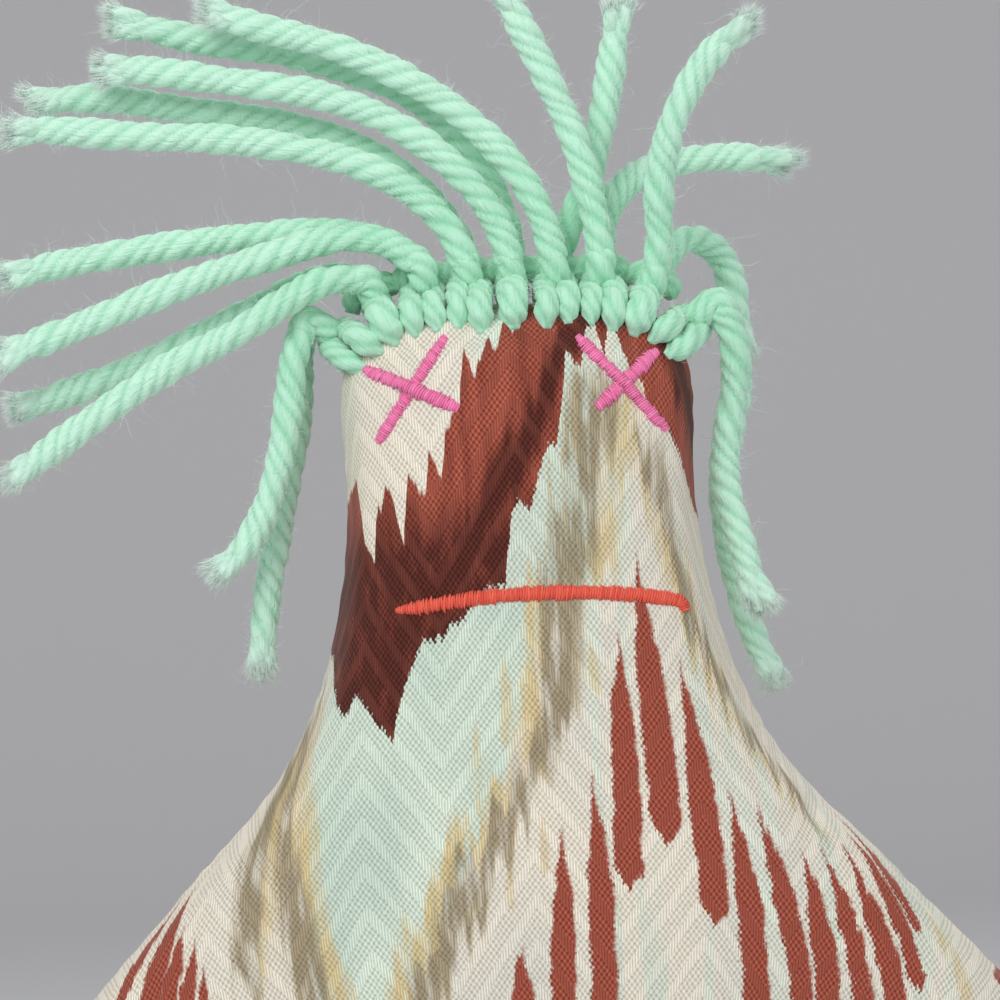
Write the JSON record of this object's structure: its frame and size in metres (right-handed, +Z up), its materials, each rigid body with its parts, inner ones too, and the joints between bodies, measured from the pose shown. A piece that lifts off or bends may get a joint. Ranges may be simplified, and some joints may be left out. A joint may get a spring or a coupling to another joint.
{
  "type": "stress relief doll",
  "caption": "Soft stuffed rag doll of patterned cotton with crossed-stitch eyes, a stitched mouth and yarn hair, held by the legs and slapped on a table to let off steam.",
  "frame": {"origin": "on the floor, midway between the two feet, in the plane of the edge seam", "axes": "+Z up through the crown, -Y the way the face looks, +X towards the doll's own left hand"},
  "size_m": [0.1939, 0.056, 0.3663],
  "materials": {
    "cloth": "matte cotton dobby, ikat print",
    "stuffing": "white polyester fibre",
    "eye_thread": "pink satin stitch",
    "mouth_thread": "red satin stitch",
    "yarn": "soft mint-green yarn"
  },
  "bodies": {
    "torso": {"torso_front_cloth": "cloth", "torso_back_cloth": "cloth", "torso_stuffing": "stuffing", "neck_fold": "cloth", "left_shoulder_fold": "cloth", "right_shoulder_fold": "cloth", "left_hip_fold": "cloth", "right_hip_fold": "cloth"},
    "head": {"head_front_cloth": "cloth", "head_back_cloth": "cloth", "head_stuffing": "stuffing", "left_eye_under_bar": "eye_thread", "left_eye_over_bar": "eye_thread", "right_eye_under_bar": "eye_thread", "right_eye_over_bar": "eye_thread", "mouth": "mouth_thread", "hair_knot_1": "yarn", "hair_knot_2": "yarn", "hair_knot_3": "yarn", "hair_knot_4": "yarn", "hair_knot_5": "yarn", "hair_knot_6": "yarn", "hair_knot_7": "yarn", "hair_knot_8": "yarn", "hair_knot_9": "yarn", "hair_front_tail_1": "yarn", "hair_front_tail_2": "yarn", "hair_front_tail_3": "yarn", "hair_front_tail_4": "yarn", "hair_front_tail_5": "yarn", "hair_front_tail_6": "yarn", "hair_front_tail_7": "yarn", "hair_front_tail_8": "yarn", "hair_front_tail_9": "yarn", "hair_back_tail_1": "yarn", "hair_back_tail_2": "yarn", "hair_back_tail_3": "yarn", "hair_back_tail_4": "yarn", "hair_back_tail_5": "yarn", "hair_back_tail_6": "yarn", "hair_back_tail_7": "yarn", "hair_back_tail_8": "yarn", "hair_back_tail_9": "yarn"},
    "left_arm": {"left_arm_front_cloth": "cloth", "left_arm_back_cloth": "cloth", "left_arm_stuffing": "stuffing"},
    "right_arm": {"right_arm_front_cloth": "cloth", "right_arm_back_cloth": "cloth", "right_arm_stuffing": "stuffing"},
    "left_leg": {"left_leg_front_cloth": "cloth", "left_leg_back_cloth": "cloth", "left_leg_stuffing": "stuffing"},
    "right_leg": {"right_leg_front_cloth": "cloth", "right_leg_back_cloth": "cloth", "right_leg_stuffing": "stuffing"}
  },
  "joints": [
    {"name": "neck_bend", "type": "hinge", "parent": "torso", "child": "head", "pos_m": [0, 0, 0.226], "axis": [1, 0, 0], "range_deg": [-35, 35], "stiffness_Nm_per_rad": 0.15, "deforming": ["neck_fold"]},
    {"name": "left_shoulder_bend", "type": "hinge", "parent": "torso", "child": "left_arm", "pos_m": [0.05238, 0, 0.15226], "axis": [0.1392, 0, 0.9903], "range_deg": [-35, 35], "stiffness_Nm_per_rad": 0.1, "deforming": ["left_shoulder_fold"]},
    {"name": "right_shoulder_bend", "type": "hinge", "parent": "torso", "child": "right_arm", "pos_m": [-0.05238, 0, 0.15226], "axis": [-0.1392, 0, 0.9903], "range_deg": [-35, 35], "stiffness_Nm_per_rad": 0.1, "deforming": ["right_shoulder_fold"]},
    {"name": "left_hip_bend", "type": "hinge", "parent": "torso", "child": "left_leg", "pos_m": [0.026, 0, 0.0805], "axis": [1, 0, 0], "range_deg": [-45, 45], "stiffness_Nm_per_rad": 0.5, "deforming": ["left_hip_fold"]},
    {"name": "right_hip_bend", "type": "hinge", "parent": "torso", "child": "right_leg", "pos_m": [-0.026, 0, 0.0805], "axis": [1, 0, 0], "range_deg": [-45, 45], "stiffness_Nm_per_rad": 0.5, "deforming": ["right_hip_fold"]}
  ]
}
